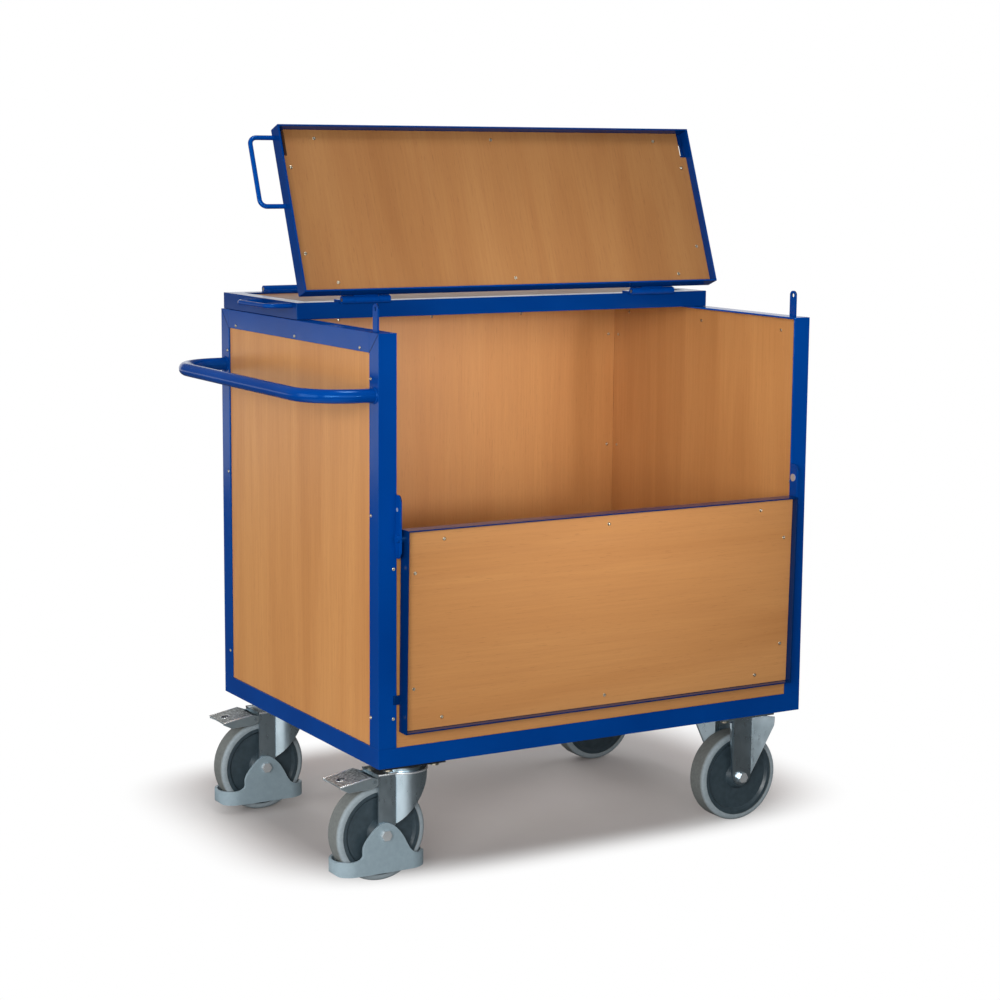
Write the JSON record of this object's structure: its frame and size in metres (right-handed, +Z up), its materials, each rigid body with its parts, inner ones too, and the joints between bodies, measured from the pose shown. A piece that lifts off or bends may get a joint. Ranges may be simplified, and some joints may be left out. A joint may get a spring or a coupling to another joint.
{
  "type": "lidded panel trolley",
  "caption": "Box trolley of wood-decor panels in a blue angle-steel frame, with a folding lid, a drop-down front flap, a push handle and swivel and fixed castors.",
  "frame": {"origin": "on the floor, under the middle of the whole trolley's outline as it stands at rest", "axes": "+Z up, -X the end with the push handle, -Y the side with the drop-down flap"},
  "size_m": [1.1836, 0.8104, 1.5174],
  "materials": {
    "frame_paint": "semi-gloss blue powder coat on steel angle and tube",
    "panel_wood": "satin beech-decor coated board",
    "castor_zinc": "bright zinc plate on pressed steel",
    "fastener_zinc": "bright zinc plate",
    "bearing_steel": "plain steel",
    "tyre_rubber": "matt grey non-marking elastomer",
    "hub_plastic": "moulded dark grey polyamide",
    "guard_plastic": "moulded pale grey plastic"
  },
  "bodies": {
    "chassis": {"base_frame": "frame_paint", "castor_bolts": "fastener_zinc", "castor_pads": "frame_paint", "fixed_castor_axles": "fastener_zinc", "fixed_castor_forks": "castor_zinc", "flap_brackets": "frame_paint", "flap_catches": "fastener_zinc", "flap_pivot_bolts": "fastener_zinc", "floor_panel": "panel_wood", "front_mid_rail": "frame_paint", "left_panel": "panel_wood", "lock_lugs": "frame_paint", "lower_front_panel": "panel_wood", "panel_screws": "fastener_zinc", "post_front_left": "frame_paint", "post_front_right": "frame_paint", "post_rear_left": "frame_paint", "post_rear_right": "frame_paint", "push_handle": "frame_paint", "rear_hinge_leaves": "frame_paint", "rear_hinge_pins": "fastener_zinc", "rear_panel": "panel_wood", "right_panel": "panel_wood", "swivel_heads": "castor_zinc", "top_frame": "frame_paint"},
    "rear_lid": {"rear_lid_frame": "frame_paint", "rear_lid_panel": "panel_wood", "rear_lid_handle": "frame_paint", "rear_lid_screws": "fastener_zinc", "rear_lid_hinge_leaves": "frame_paint", "mid_hinge_pins": "fastener_zinc"},
    "front_lid": {"front_lid_frame": "frame_paint", "front_lid_handle": "frame_paint", "front_lid_hinge_leaves": "frame_paint", "front_lid_panel": "panel_wood", "front_lid_screws": "fastener_zinc"},
    "front_flap": {"flap_frame": "frame_paint", "flap_panel": "panel_wood", "flap_screws": "fastener_zinc"},
    "castor_front_left": {"castor_fork_front_left": "castor_zinc", "foot_guard_front_left": "guard_plastic", "castor_axle_front_left": "fastener_zinc"},
    "castor_rear_left": {"castor_fork_rear_left": "castor_zinc", "foot_guard_rear_left": "guard_plastic", "castor_axle_rear_left": "fastener_zinc"},
    "pedal_front_left": {"brake_pedal_front_left": "castor_zinc"},
    "pedal_rear_left": {"brake_pedal_rear_left": "castor_zinc"},
    "wheel_front_left": {"tyre_front_left": "tyre_rubber", "hub_front_left": "hub_plastic", "bearing_front_left": "bearing_steel"},
    "wheel_rear_left": {"tyre_rear_left": "tyre_rubber", "hub_rear_left": "hub_plastic", "bearing_rear_left": "bearing_steel"},
    "wheel_front_right": {"tyre_front_right": "tyre_rubber", "hub_front_right": "hub_plastic", "bearing_front_right": "bearing_steel"},
    "wheel_rear_right": {"tyre_rear_right": "tyre_rubber", "hub_rear_right": "hub_plastic", "bearing_rear_right": "bearing_steel"}
  },
  "joints": [
    {"name": "rear_lid_hinge", "type": "hinge", "parent": "chassis", "child": "rear_lid", "pos_m": [0.0702, 0.39719, 1.1563], "axis": [-1, 0, 0], "range_deg": [0, 100]},
    {"name": "front_lid_hinge", "type": "hinge", "parent": "rear_lid", "child": "front_lid", "pos_m": [0.0702, 0.00319, 1.1563], "axis": [1, 0, 0], "range_deg": [0, 111.1]},
    {"name": "flap_hinge", "type": "hinge", "parent": "chassis", "child": "front_flap", "pos_m": [0.0702, -0.38181, 0.716], "axis": [-1, 0, 0], "range_deg": [0, 181.2]},
    {"name": "swivel_front_left", "type": "hinge", "parent": "chassis", "child": "castor_front_left", "pos_m": [-0.3498, -0.27881, 0.225], "axis": [0, 0, 1], "continuous": true},
    {"name": "pedal_front_left", "type": "hinge", "parent": "castor_front_left", "child": "pedal_front_left", "pos_m": [-0.4328, -0.27881, 0.212], "axis": [0, -1, 0], "range_deg": [0, 9], "stiffness_Nm_per_rad": 3, "springref_deg": -11.46},
    {"name": "spin_front_left", "type": "hinge", "parent": "castor_front_left", "child": "wheel_front_left", "pos_m": [-0.4098, -0.27881, 0.1], "axis": [0, 1, 0], "continuous": true},
    {"name": "spin_front_right", "type": "hinge", "parent": "chassis", "child": "wheel_front_right", "pos_m": [0.4782, -0.27881, 0.1], "axis": [0, 1, 0], "continuous": true},
    {"name": "swivel_rear_left", "type": "hinge", "parent": "chassis", "child": "castor_rear_left", "pos_m": [-0.3498, 0.30319, 0.225], "axis": [0, 0, 1], "continuous": true},
    {"name": "pedal_rear_left", "type": "hinge", "parent": "castor_rear_left", "child": "pedal_rear_left", "pos_m": [-0.4328, 0.30319, 0.212], "axis": [0, -1, 0], "range_deg": [0, 9], "stiffness_Nm_per_rad": 3, "springref_deg": -11.46},
    {"name": "spin_rear_left", "type": "hinge", "parent": "castor_rear_left", "child": "wheel_rear_left", "pos_m": [-0.4098, 0.30319, 0.1], "axis": [0, 1, 0], "continuous": true},
    {"name": "spin_rear_right", "type": "hinge", "parent": "chassis", "child": "wheel_rear_right", "pos_m": [0.4782, 0.30319, 0.1], "axis": [0, 1, 0], "continuous": true}
  ]
}
